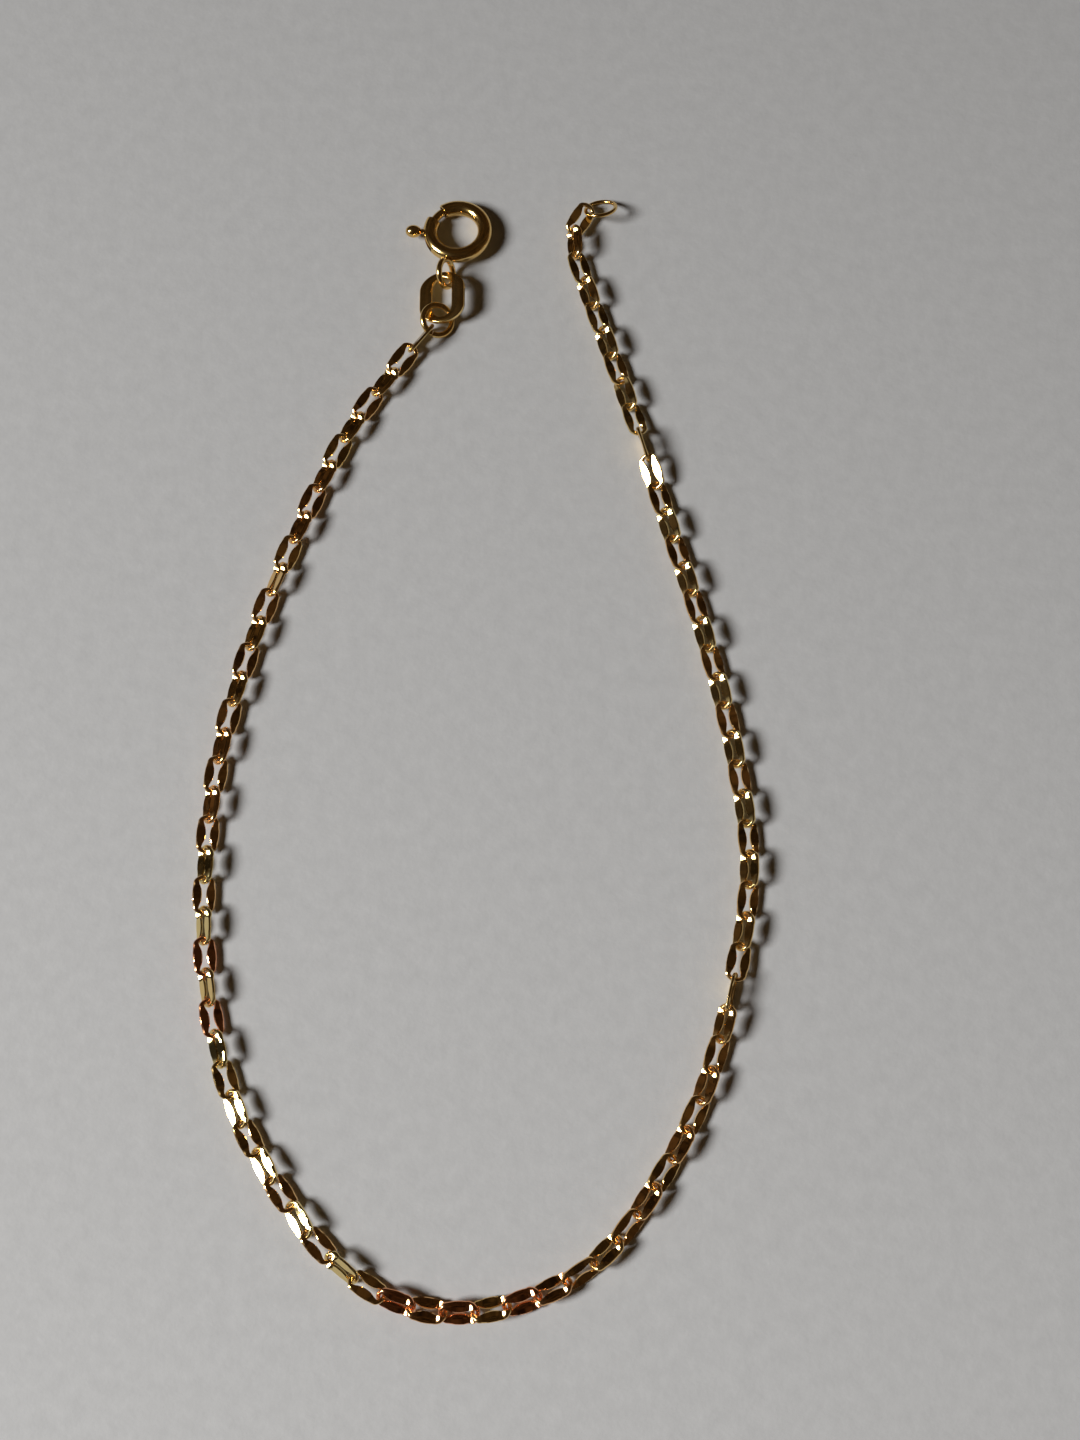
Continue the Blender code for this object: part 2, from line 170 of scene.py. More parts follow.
def bump(
    tree: bpy.types.NodeTree, source: bpy.types.NodeSocket, depth: float, below: bpy.types.Node | None = None
) -> bpy.types.Node:
    """Add a bump from a height of 0 to 1.

    Args:
        tree: Node tree to add to.
        source: Height socket.
        depth: Height of 1 in metres.
        below: Bump node that this one lies on.

    Returns:
        The Bump node.
    """
    node = tree.nodes.new("ShaderNodeBump")
    node.inputs["Distance"].default_value = depth
    tree.links.new(source, node.inputs["Height"])
    if below:
        tree.links.new(below.outputs["Normal"], node.inputs["Normal"])
    return node


@dataclass(frozen=True)
class PolishedGold:
    """Tumbled gold of the rings, the tag and the clasp: soft waves and fine buffing lines."""

    name: str
    light: tuple[float, float, float] = (0.93, 0.66, 0.27)
    deep: tuple[float, float, float] = (0.80, 0.50, 0.15)
    patch_scale: float = 900.0
    patch_stops: tuple[float, float] = (0.35, 0.65)
    roughness: tuple[float, float] = (0.11, 0.22)
    wave_scale: float = 1400.0
    wave_depth: float = 0.008 * MM
    line_stretch: tuple[float, float, float] = (1.0, 9.0, 1.0)
    line_scale: float = 6000.0
    line_depth: float = 0.0010 * MM

    def material(self) -> bpy.types.Material:
        """Build the node material.

        Returns:
            The material.
        """
        material, tree, shader = new_tree(self.name)
        patches = noise(tree, self.patch_scale, 3.0, (1, 1, 1)).outputs["Fac"]
        colour = ramp(tree, patches, list(zip(self.patch_stops, (self.deep, self.light))))
        waves = bump(tree, noise(tree, self.wave_scale, 1.0, (1, 1, 1)).outputs["Fac"], self.wave_depth)
        lines = noise(tree, self.line_scale, 2.0, self.line_stretch).outputs["Fac"]
        shader.inputs["Metallic"].default_value = 1.0
        tree.links.new(colour.outputs["Color"], shader.inputs["Base Color"])
        tree.links.new(spread(tree, lines, *self.roughness).outputs["Result"], shader.inputs["Roughness"])
        tree.links.new(bump(tree, lines, self.line_depth, waves).outputs["Normal"], shader.inputs["Normal"])
        return material


@dataclass(frozen=True)
class MirrorGold:
    """Gold of the links: struck mirror petals, and rounder, softer wire at the ends.

    The petal attribute says how far a point belongs to a petal, and the tint attribute
    moves a link from a redder to a greener gold: painted reflection colour that stands in for the
    warm and olive surroundings mirrored in the petals, with a little random tone.
    """

    name: str
    # Red and green are the ends of the painted reflection colour, middle the gold between them.
    red: tuple[float, float, float] = (0.92, 0.42, 0.21)
    middle: tuple[float, float, float] = (0.88, 0.60, 0.24)
    green: tuple[float, float, float] = (0.82, 0.70, 0.33)
    wire_roughness: float = 0.25
    petal_roughness: float = 0.085
    wave_scale: float = 1300.0
    wave_depth: float = 0.007 * MM

    def material(self) -> bpy.types.Material:
        """Build the node material.

        Returns:
            The material.
        """
        material, tree, shader = new_tree(self.name)
        # Painted reflection colour: the tint attribute picks each link's hue between the red and the green
        # end, standing in for the warm and olive surroundings that its petals mirror.
        tint = tree.nodes.new("ShaderNodeAttribute")
        tint.attribute_name = Layer.TINT.value
        petal = tree.nodes.new("ShaderNodeAttribute")
        petal.attribute_name = Layer.PETAL.value
        tone_and_reflection_hues = [(0.0, self.red), (0.5, self.middle), (1.0, self.green)]
        colour = ramp(tree, tint.outputs["Fac"], tone_and_reflection_hues)
        rough = spread(tree, petal.outputs["Fac"], self.wire_roughness, self.petal_roughness)
        waves = noise(tree, self.wave_scale, 2.0, (1, 1, 1)).outputs["Fac"]
        shader.inputs["Metallic"].default_value = 1.0
        tree.links.new(colour.outputs["Color"], shader.inputs["Base Color"])
        tree.links.new(rough.outputs["Result"], shader.inputs["Roughness"])
        tree.links.new(bump(tree, waves, self.wave_depth).outputs["Normal"], shader.inputs["Normal"])
        return material


@dataclass(frozen=True)
class Paper:
    """Matt pale paper with faint fibres, and a painted light falloff that darkens it towards +Y."""

    name: str
    light: tuple[float, float, float] = (0.64, 0.64, 0.645)
    dark: tuple[float, float, float] = (0.595, 0.595, 0.60)
    roughness: float = 0.9
    specular: float = 0.15
    mottle_scale: float = 900.0
    mottle_stops: tuple[float, float] = (0.3, 0.7)
    fibre_scale: float = 2600.0
    fibre_stretch: tuple[float, float, float] = (0.8, 1.0, 1.0)
    fibre_depth: float = 0.014 * MM
    painted_falloff_reach: float = 60 * MM
    painted_falloff: tuple[float, float] = (1.09, 0.83)

    def material(self) -> bpy.types.Material:
        """Build the node material.

        Returns:
            The material.
        """
        material, tree, shader = new_tree(self.name)
        mottle = noise(tree, self.mottle_scale, 5.0, (1, 1, 1)).outputs["Fac"]
        colour = ramp(tree, mottle, list(zip(self.mottle_stops, (self.dark, self.light))))
        fibres = noise(tree, self.fibre_scale, 3.0, self.fibre_stretch).outputs["Fac"]
        shader.inputs["Roughness"].default_value = self.roughness
        shader.inputs["Specular IOR Level"].default_value = self.specular
        # Painted light falloff: the colour is scaled from brighter at -Y to darker at +Y.
        place = tree.nodes.new("ShaderNodeTexCoord")
        parts = tree.nodes.new("ShaderNodeSeparateXYZ")
        tree.links.new(place.outputs["Object"], parts.inputs["Vector"])
        shade = spread(tree, parts.outputs["Y"], *self.painted_falloff)
        shade.inputs["From Min"].default_value = -self.painted_falloff_reach
        shade.inputs["From Max"].default_value = self.painted_falloff_reach
        toned = tree.nodes.new("ShaderNodeVectorMath")
        toned.operation = "SCALE"
        tree.links.new(colour.outputs["Color"], toned.inputs["Vector"])
        tree.links.new(shade.outputs["Result"], toned.inputs["Scale"])
        tree.links.new(toned.outputs["Vector"], shader.inputs["Base Color"])
        tree.links.new(bump(tree, fibres, self.fibre_depth).outputs["Normal"], shader.inputs["Normal"])
        return material


def finish_piece(
    name: str, bm: bmesh.types.BMesh, material: bpy.types.Material, sharp: float = 40.0
) -> bpy.types.Object:
    """Make an object of a bmesh, with its faces outwards and its sharp edges marked.

    Args:
        name: Name of the piece.
        bm: Mesh in the frame's place; it is freed.
        material: Finish of the piece.
        sharp: Angle in degrees past which an edge stays sharp.

    Returns:
        The object, at the origin.
    """
    bmesh.ops.recalc_face_normals(bm, faces=bm.faces)
    mesh = bpy.data.meshes.new(name)
    bm.to_mesh(mesh)
    bm.free()
    mesh.materials.append(material)
    mesh.shade_smooth()
    mesh.set_sharp_from_angle(angle=math.radians(sharp))
    piece = bpy.data.objects.new(name, mesh)
    bpy.context.collection.objects.link(piece)
    return piece


def place_piece(piece: bpy.types.Object, body: Body, node: str) -> None:
    """Let a piece ride on its body, in the place of its solid.

    Args:
        piece: The finished piece.
        body: Body that it moves with.
        node: Solid that it stands for.
    """
    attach(piece, body.value)
    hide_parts(node)
    log.info("%s: %d faces", piece.name, len(piece.data.polygons))


def wire_arc(
    diameter: float, wire: float, start: float, end: float, steps: int, sides: int
) -> bmesh.types.BMesh:
    """Spin a round wire about Z, through part of a turn or the whole of it.

    Args:
        diameter: Outer diameter of the ring.
        wire: Diameter of the wire.
        start: Angle in degrees where the wire begins.
        end: Angle in degrees where it ends.
        steps: Steps of the spin.
        sides: Sides of the wire.

    Returns:
        The closed wire.
    """
    bm = bmesh.new()
    circle = bmesh.ops.create_circle(bm, segments=sides, radius=wire / 2)
    upright = Matrix.Rotation(math.radians(90.0), 4, "X")
    out = Matrix.Translation(((diameter - wire) / 2, 0, 0))
    begin = Matrix.Rotation(math.radians(start), 4, "Z")
    bmesh.ops.transform(bm, matrix=begin @ out @ upright, verts=circle["verts"])
    whole = end - start >= 360.0
    bmesh.ops.spin(
        bm,
        geom=list(bm.verts) + list(bm.edges),
        cent=(0, 0, 0),
        axis=(0, 0, 1),
        angle=math.radians(end - start),
        steps=steps,
        use_merge=whole,
    )
    if not whole:
        rims = [edge for edge in bm.edges if edge.is_boundary]
        caps = bmesh.ops.holes_fill(bm, edges=rims, sides=0)["faces"]
        lips = list({edge for cap in caps for edge in cap.edges})
        bmesh.ops.bevel(
            bm, geom=lips, offset=wire * LIP_SHARE, segments=2, profile=0.5, affect="EDGES", material=-1
        )
    return bm


def apply_booleans(
    name: str, base: bmesh.types.BMesh, tools: Sequence[tuple[str, bmesh.types.BMesh]]
) -> bmesh.types.BMesh:
    """Join shapes to a base and cut others from it, in order.

    Args:
        name: Name for the scratch objects.
        base: Shape to start from; it is freed.
        tools: Operation and shape of each step; the shapes are freed.

    Returns:
        The result.
    """
    made = []
    for index, bm in enumerate([base] + [tool for _, tool in tools]):
        bmesh.ops.recalc_face_normals(bm, faces=bm.faces)
        mesh = bpy.data.meshes.new(f"{name}_{index}")
        bm.to_mesh(mesh)
        bm.free()
        scratch = bpy.data.objects.new(mesh.name, mesh)
        bpy.context.collection.objects.link(scratch)
        made.append(scratch)
    for (operation, _), tool in zip(tools, made[1:]):
        modifier = made[0].modifiers.new(tool.name, "BOOLEAN")
        modifier.operation = operation
        modifier.object = tool
        modifier.solver = "EXACT"
    graph = bpy.context.evaluated_depsgraph_get()
    result = bmesh.new()
    result.from_object(made[0], graph)
    for scratch in made:
        bpy.data.objects.remove(scratch, do_unlink=True)
    return result


@dataclass(frozen=True)
class Station:
    """One section of a link, on its way from the tip of an end to the middle of a petal."""

    along: float
    across: float
    width: float
    height: float
    facet: float
    offset: float
    flat: float
    shoulder: float

    def values(self) -> Vector:
        """Return the sizes that are blended between stations."""
        return Vector((self.width, self.height, self.facet, self.offset, self.flat, self.shoulder))


@dataclass(frozen=True)
class LinkCut:
    """How one link is struck: the tilt in degrees of its petals and of its shoulders.

    Tilts are about the link's length and positive towards its own Y. The shoulders of one
    end only are struck, and those also pitch towards the link's own X.
    """

    petals: tuple[float, float] = (0.0, 0.0)
    shoulder: float = 0.0
    pitch: float = 0.0
    struck_end: float = 1.0
    shoulder_middle: float = 0.80 * MM

    def slope(self, place: Vector, share: float) -> float:
        """Return the slope of the facets at a place in the link's plane."""
        tilt = self.petals[0] if place.y > 0 else self.petals[1]
        if place.x * self.struck_end > 0:
            tilt += (self.shoulder - tilt) * share
        return -math.tan(math.radians(tilt))

    def rise(self, place: Vector, share: float) -> float:
        """Return how far the pitch of a struck shoulder lifts a place in the link's plane."""
        if place.x * self.struck_end <= 0:
            return 0.0
        run = place.x - self.struck_end * self.shoulder_middle
        return -math.tan(math.radians(self.pitch)) * run * share


@dataclass
class MirrorLink:
    """One link: an oval of round wire whose long sides are struck into flat petals."""

    sides: int = 12
    substeps: int = 3
    facet_sine: float = 0.85
    rim_sine: float = 0.87
    shoulder_softness: float = 0.6
    quarter: tuple[Station, ...] = (
        Station(1.1975 * MM, 0.000 * MM, 0.29 * MM, 0.29 * MM, 0.10 * MM, 0.0, 0.0, 0.0),
        Station(1.1500 * MM, 0.240 * MM, 0.29 * MM, 0.29 * MM, 0.10 * MM, 0.0, 0.0, 0.0),
        Station(1.0300 * MM, 0.420 * MM, 0.30 * MM, 0.28 * MM, 0.14 * MM, 0.0, 0.3, 0.5),
        Station(0.8900 * MM, 0.515 * MM, 0.36 * MM, 0.26 * MM, 0.24 * MM, -0.02 * MM, 0.9, 1.0),
        Station(0.7000 * MM, 0.515 * MM, 0.42 * MM, 0.24 * MM, 0.30 * MM, -0.03 * MM, 1.0, 1.0),
        Station(0.5000 * MM, 0.488 * MM, 0.53 * MM, 0.21 * MM, 0.39 * MM, -0.02 * MM, 1.0, 0.1),
        Station(0.2800 * MM, 0.466 * MM, 0.62 * MM, 0.20 * MM, 0.49 * MM, 0.0, 1.0, 0.0),
        Station(0.0000 * MM, 0.455 * MM, 0.65 * MM, 0.20 * MM, 0.52 * MM, 0.0, 1.0, 0.0),
    )

    def key_stations(self) -> list[tuple[Vector, Vector]]:
        """Mirror the quarter round the link.

        Returns:
            Place in the link's plane and blended sizes of each station, in order.
        """
        keys = []
        for side_x, side_y in ((1, 1), (-1, 1), (-1, -1), (1, -1)):
            row = self.quarter if side_x == side_y else self.quarter[::-1]
            for station in row[:-1]:
                place = Vector((side_x * station.along, side_y * station.across))
                keys.append((place, station.values()))
        return keys

    def smooth_stations(self) -> list[tuple[Vector, Vector]]:
        """Blend extra stations in between along a smooth closed curve.

        Returns:
            Place in the link's plane and blended sizes of each station, in order.
        """
        keys = self.key_stations()
        count = len(keys)
        stations = []
        for index in range(count):
            before, start, end, after = (keys[(index + step) % count] for step in (-1, 0, 1, 2))
            for step in range(self.substeps):
                t = step / self.substeps
                place = start[0] + 0.5 * t * (
                    (end[0] - before[0])
                    + t * (2 * before[0] - 5 * start[0] + 4 * end[0] - after[0])
                    + t * t * (3 * start[0] - before[0] - 3 * end[0] + after[0])
                )
                stations.append((place, start[1].lerp(end[1], t)))
        return stations

    def add_section(
        self, bm: bmesh.types.BMesh, place: Vector, outward: Vector, sizes: Vector, tilt: float, rise: float
    ) -> list[bmesh.types.BMEdge]:
        """Add the outline of one section, round on the wire and flat on a petal.

        Args:
            bm: Mesh to add to.
            place: Middle of the section in the link's plane.
            outward: Unit vector across the section, away from the link's middle.
            sizes: Width, height, facet width, facet offset, flatness and share of shoulder.
            tilt: Slope of the facets across the section.
            rise: Height of the section's middle over the link's plane.

        Returns:
            The edges of the outline.
        """
        width, height, facet, offset, flat, shoulder = sizes
        ring = bmesh.ops.create_circle(bm, segments=self.sides, radius=1.0)["verts"]
        petal = bm.verts.layers.float[Layer.PETAL.value]
        for vert in ring:
            cosine, sine = vert.co.x, vert.co.y
            if abs(sine) > self.facet_sine:
                flat_y = offset + cosine * facet
                flat_z = math.copysign(height / 2, sine)
            else:
                edge = offset + math.copysign(facet / 2, cosine)
                rim = math.copysign(width / 2, cosine)
                share = math.cos(math.asin(max(-1.0, min(1.0, sine / self.rim_sine))))
                flat_y = edge + (rim - edge) * share
                flat_z = sine / self.rim_sine * height / 2
            y = cosine * width / 2 * (1 - flat) + flat_y * flat
            z = sine * height / 2 * (1 - flat) + flat_z * flat + tilt * y * flat
            vert.co = Vector((place.x + outward.x * y, place.y + outward.y * y, z + rise))
            vert[petal] = flat * (1 - self.shoulder_softness * shoulder)
        return list({edge for vert in ring for edge in vert.link_edges})

    def loft(self, cut: LinkCut) -> bmesh.types.BMesh:
        """Loft one link, with X along the link and Z up from its plane.

        Args:
            cut: How the link is struck.

        Returns:
            The link with its point attributes.
        """
        bm = bmesh.new()
        bm.verts.layers.float.new(Layer.PETAL.value)
        bm.verts.layers.float.new(Layer.TINT.value)
        stations = self.smooth_stations()
        loops = []
        for index, (place, sizes) in enumerate(stations):
            tangent = stations[(index + 1) % len(stations)][0] - stations[index - 1][0]
            outward = Vector((tangent.y, -tangent.x)).normalized()
            tilt = cut.slope(place, sizes[5]) * outward.y
            rise = cut.rise(place, sizes[5])
            loops.append(self.add_section(bm, place, outward, sizes, tilt, rise))
        for loop, following in zip(loops, loops[1:] + loops[:1]):
            bmesh.ops.bridge_loops(bm, edges=loop + following)
        return bm


@dataclass
class WireRings:
    """The jump ring between chain and tag, and the end ring on the last link."""

    jump_diameter: float = 2.58 * MM
    jump_wire: float = 0.43 * MM
    jump_lean: float = 27.0
    jump_downhill: float = -25.0
    jump_hold: float = 230.0
    jump_seam: float = 250.0
    end_diameter: float = 2.45 * MM
    end_wire: float = 0.28 * MM
    end_heading: float = 10.0
    end_turn: float = -60.0
    end_seam: float = 40.0
    seam_angle: float = 1.2
    steps: int = 96
    sides: int = 20

    def node_middle(self, node: str) -> Vector:
        """Return the middle of a solid's box."""
        low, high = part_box(node)
        return (low + high) / 2

    def jump_turn(self) -> Matrix:
        """Return the turn of the jump ring, leaning downhill."""
        downhill = math.radians(self.jump_downhill)
        axis = Vector((-math.sin(downhill), math.cos(downhill), 0.0))
        return Matrix.Rotation(math.radians(self.jump_lean), 4, axis)

    def jump_hold_offset(self) -> Vector:
        """Return the way from the jump ring's middle to where the chain hangs on it."""
        radius = (self.jump_diameter - self.jump_wire) / 2
        hold = math.radians(self.jump_hold)
        return self.jump_turn() @ Vector((radius * math.cos(hold), radius * math.sin(hold), 0.0))

    def jump_hold_height(self) -> float:
        """Return the height of the jump ring's wire where the chain hangs on it."""
        radius = (self.jump_diameter - self.jump_wire) / 2
        centre = self.jump_wire / 2 + radius * math.sin(math.radians(self.jump_lean))
        return centre + self.jump_hold_offset().z

    def end_rest_height(self, last_roll: float) -> float:
        """Return the height of the end ring's middle where it rests, from the last link's roll."""
        radius = (self.end_diameter - self.end_wire) / 2
        return radius * abs(math.sin(math.radians(last_roll + self.end_turn))) + self.end_wire / 2

    def build_one(
        self, node: str, sizes: tuple[float, float], seam: float, turn: Matrix, finish: bpy.types.Material
    ) -> None:
        """Build one ring of round wire with a closed seam.

        Args:
            node: Solid that the ring stands for.
            sizes: Outer diameter and wire.
            seam: Angle in degrees of the seam.
            turn: Turn of the ring in the frame.
            finish: Finish of the ring.
        """
        bm = wire_arc(*sizes, seam + self.seam_angle, seam + 360.0 - self.seam_angle, self.steps, self.sides)
        place = Matrix.Translation(self.node_middle(node)) @ turn
        bmesh.ops.transform(bm, matrix=place, verts=bm.verts)
        piece = finish_piece(f"{node}_wire", bm, finish)
        place_piece(piece, Body.BRACELET, node)

    def build(self, last_roll: float, finish: bpy.types.Material) -> None:
        """Build both rings.

        Args:
            last_roll: Roll of the last link in degrees, which the end ring follows.
            finish: Finish of the rings.
        """
        self.build_one(
            "jump_ring", (self.jump_diameter, self.jump_wire), self.jump_seam, self.jump_turn(), finish
        )
        heading = Matrix.Rotation(math.radians(self.end_heading), 4, "Z")
        turn = heading @ Matrix.Rotation(math.radians(last_roll + self.end_turn), 4, "X")
        self.build_one("end_ring", (self.end_diameter, self.end_wire), self.end_seam, turn, finish)


@dataclass
class Chain:
    """The chain: its route on the paper, the lie of its links, and its two pieces."""

    pitch: float = 2.045 * MM
    width: float = 1.55 * MM
    petal_thickness: float = 0.20 * MM
    clearance: float = 0.05 * MM
    last_heading: float = 58.0
    last_slack: float = 0.12 * MM
    route_samples: int = 16
    roll_wander: float = 2.0
    roll_wander_step: float = 137.5
    petal_wander: float = 2.6
    petal_lean: float = 10.0
    petal_lift: float = 26.0
    glint_range: tuple[float, float] = (11.0, 40.0)
    glint_halves: tuple[float, float] = (0.50, 0.45)
    open_roll: float = 28.0
    level_heading: float = 0.75
    end_slant: float = 0.5
    tint_wander: float = 0.12
    seed: int = 11
    light: Vector = field(default_factory=lambda: Vector((0, 0, 1)))
    eye: Vector = field(default_factory=lambda: Vector((0, 0, 1)))
    link: MirrorLink = field(default_factory=MirrorLink)
    rings: WireRings = field(default_factory=WireRings)
    route: ClassVar[tuple[tuple[float, float], ...]] = (
        (-3.5, 29.1), (-5.6, 26.6), (-9.1, 21.6), (-12.5, 14.3), (-15.4, 6.5), (-17.4, -1.5),
        (-18.1, -9.8), (-17.5, -18.0), (-15.2, -25.6), (-10.7, -32.5), (-7.9, -35.2),
        (-4.7, -37.0), (-0.6, -37.6), (3.5, -36.8), (7.3, -34.9), (10.1, -32.1), (14.4, -25.0),
        (16.8, -17.4), (18.1, -9.6), (17.2, -1.3), (15.4, 6.5), (13.1, 14.4), (10.8, 22.3),
        (8.3, 30.0), (7.1, 33.7), (6.7, 35.2), (6.75, 36.5),
    )
    rolls: ClassVar[tuple[tuple[int, float, float], ...]] = (
        (1, 62.0, -25.0), (2, 43.0, -25.0), (37, 38.0, -30.0), (39, 34.0, -34.0),
        (45, 30.0, -38.0), (47, 25.0, -43.0), (53, 77.0, 13.0), (55, -43.0, 25.0),
        (71, -36.0, 84.0), (73, 25.0, -43.0), (79, 25.0, -58.0),
    )
    glints: ClassVar[dict[int, float]] = {29: 0.86, 31: 1.0, 33: 0.80, 71: 0.85}
    pale: ClassVar[tuple[int, ...]] = (11, 23, 25, 35)
    # Painted reflection colour: the links in the first table below are painted red, and the second gives the
    # odd and even links of each stretch a redder or greener hue, standing in for what their petals mirror.
    red_reflection_links: ClassVar[tuple[int, ...]] = (24, 26, 37, 39, 41)
    reflection_tints: ClassVar[tuple[tuple[int, float, float], ...]] = (
        (1, 0.45, 0.40), (20, 0.75, 0.40), (34, 0.85, 0.45), (37, 0.10, 0.35), (43, 0.45, 0.40),
        (53, 0.70, 0.35), (71, 0.60, 0.50),
    )

    def link_roll(self, number: int) -> float:
        """Return how far a link is rolled about the chain, in degrees."""
        odd, even = [row[1:] for row in self.rolls if row[0] <= number][-1]
        wander = self.roll_wander * math.sin(math.radians(self.roll_wander_step) * number)
        return (odd if number % 2 else even) + wander

    def rest_height(self, number: int) -> float:
        """Return the height of a link's middle when its lower petal touches the paper."""
        roll = math.radians(self.link_roll(number))
        return (self.width * abs(math.sin(roll)) + self.petal_thickness * math.cos(roll)) / 2

    def smooth_route(self) -> list[Vector]:
        """Run a smooth curve through the points of the route.

        Returns:
            Closely spaced points on the curve.
        """
        marks = [Vector((x * MM, y * MM, 0.0)) for x, y in self.route]
        marks.insert(0, 2 * marks[0] - marks[1])
        marks.append(2 * marks[-1] - marks[-2])
        curve = []
        for before, start, end, after in zip(marks, marks[1:], marks[2:], marks[3:]):
            chord = (end - start).length
            leave = (end - before) * chord / ((start - before).length + chord)
            arrive = (after - start) * chord / ((after - end).length + chord)
            for step in range(self.route_samples):
                t = step / self.route_samples
                place = (2 * t**3 - 3 * t**2 + 1) * start + (3 * t**2 - 2 * t**3) * end
                place += (t**3 - 2 * t**2 + t) * leave + (t**3 - t**2) * arrive
                curve.append(place)
        curve.append(marks[-2])
        return curve

    def joints(self) -> list[Vector]:
        """Space the joints of the links along the route.

        Returns:
            The joints, with the far end of the last link.
        """
        curve = self.smooth_route()
        lengths = [0.0]
        for start, end in zip(curve, curve[1:]):
            lengths.append(lengths[-1] + (end - start).length)
        count = math.ceil(lengths[-1] / self.pitch)
        joints = []
        piece = 0
        for number in range(count + 1):
            wanted = lengths[-1] * number / count
            while piece < len(curve) - 2 and lengths[piece + 1] < wanted:
                piece += 1
            share = (wanted - lengths[piece]) / (lengths[piece + 1] - lengths[piece])
            joints.append(curve[piece].lerp(curve[piece + 1], min(share, 1.0)))
        heading = math.radians(self.last_heading)
        joints.append(joints[-1] + Vector((math.cos(heading), math.sin(heading), 0.0)) * self.pitch)
        rests = [self.rest_height(number + 1) for number in range(count + 1)]
        ring_rest = self.rings.end_rest_height(self.link_roll(count + 1))
        rests = [self.rings.jump_hold_height(), *rests, ring_rest]
        for joint, before, after in zip(joints, rests, rests[1:]):
            joint.z = max(before, after)
        shift = self.shift(joints)
        return [joint - shift for joint in joints]

    def shift(self, joints: Sequence[Vector]) -> Vector:
        """Find how far the route lies from the frame, from the place of the jump ring.

        Args:
            joints: The joints on the route.

        Returns:
            The way from the frame's origin to the route's.
        """
        along = (joints[1] - joints[0]).normalized()
        wire_middle = joints[0] + along * (self.rings.jump_wire / 2 + self.clearance)
        return wire_middle - self.rings.jump_hold_offset() - self.rings.node_middle("jump_ring")

    def link_place(self, joints: list[Vector], number: int) -> Matrix:
        """Return the matrix of a link between its two joints.

        Args:
            joints: The chain's joints.
            number: Number of the link, from 1.

        Returns:
            A matrix with X along the link and Y across its petals.
        """
        start, end = joints[number - 1], joints[number]
        along = (end - start).normalized()
        level = Vector((0, 0, 1)).cross(along).normalized()
        rise = along.cross(level)
        angle = math.radians(self.link_roll(number))
        across = math.cos(angle) * level + math.sin(angle) * rise
        middle = (start + end) / 2
        if number == len(joints) - 1:
            middle -= along * self.last_slack
        turn = Matrix((along, across, along.cross(across))).transposed().to_4x4()
        return Matrix.Translation(middle) @ turn

    def link_tone_and_reflection(self, number: int, rng: random.Random) -> float:
        """Return a link's painted reflection colour, from the red end at 0 to the green end at 1, with a
        little random tone.
        """
        odd, even = [row[1:] for row in self.reflection_tints if row[0] <= number][-1]
        wander = rng.uniform(-self.tint_wander, self.tint_wander)
        return 0.0 if number in self.red_reflection_links else (odd if number % 2 else even) + wander

    def glint_angles(self, place: Matrix) -> tuple[float, float]:
        """Find where the key light glints on a link.

        Args:
            place: The link's matrix.

        Returns:
            The lean and the pitch in degrees that would turn the link's face to the glint.
        """
        view = (self.eye - place.translation).normalized()
        glint = place.to_3x3().transposed() @ (self.light + view).normalized()
        lean = math.degrees(math.atan2(glint.y, glint.z))
        return lean, math.degrees(math.atan2(glint.x, glint.z))

    def glint_turn(self, place: Matrix, number: int) -> Matrix:
        """Return the small turn of a link that lies with its face to the glint."""
        if number not in self.glints:
            return Matrix()
        lean, pitch = self.glint_angles(place)
        turn = Matrix.Rotation(math.radians(-lean / 2), 4, "X")
        return turn @ Matrix.Rotation(math.radians(pitch * self.glints[number]), 4, "Y")

    def link_cut(self, place: Matrix, number: int, rng: random.Random) -> LinkCut:
        """Choose how a link is struck, from how it lies towards the light and the eye.

        Args:
            place: The link's matrix.
            number: Number of the link, from 1.
            rng: Source of the small differences.

        Returns:
            The cut; its shoulders glint when the link leans away from the light.
        """
        lean, pitch = self.glint_angles(place)
        if number in self.glints:
            tilts = (lean * (self.glints[number] - half) for half in self.glint_halves)
            return LinkCut(tuple(tilts), lean / 2)
        low, high = self.glint_range
        along = place.col[0]
        steep = abs(self.link_roll(number)) > self.open_roll or abs(along.y) < self.level_heading
        closed = steep and low < abs(lean) < high
        lift = 0.0
        if closed and number not in self.pale:
            lift = math.copysign(min(max(abs(lean) - self.petal_lean, 0.0), self.petal_lift), lean)
        petals = tuple(lift + rng.uniform(-self.petal_wander, self.petal_wander) for _ in range(2))
        if not closed:
            return LinkCut(petals)
        upper_end = 1.0 if along.y + self.end_slant * along.x > 0 else -1.0
        return LinkCut(petals, lean, pitch, upper_end)

    def add_link(self, bm: bmesh.types.BMesh, place: Matrix, number: int, rng: random.Random) -> None:
        """Add one link to a stretch of chain.

        Args:
            bm: Mesh of the stretch.
            place: The link's matrix.
            number: Number of the link, from 1.
            rng: Source of the small differences.
        """
        link = self.link.loft(self.link_cut(place, number, rng))
        # Painted reflection colour, with a little random tone, on every point of the link.
        tint = link.verts.layers.float[Layer.TINT.value]
        shade = self.link_tone_and_reflection(number, rng)
        for vert in link.verts:
            vert[tint] = shade
        bmesh.ops.transform(link, matrix=place @ self.glint_turn(place, number), verts=link.verts)
        mesh = bpy.data.meshes.new("link")
        link.to_mesh(mesh)
        link.free()
        bm.from_mesh(mesh)
        bpy.data.meshes.remove(mesh)

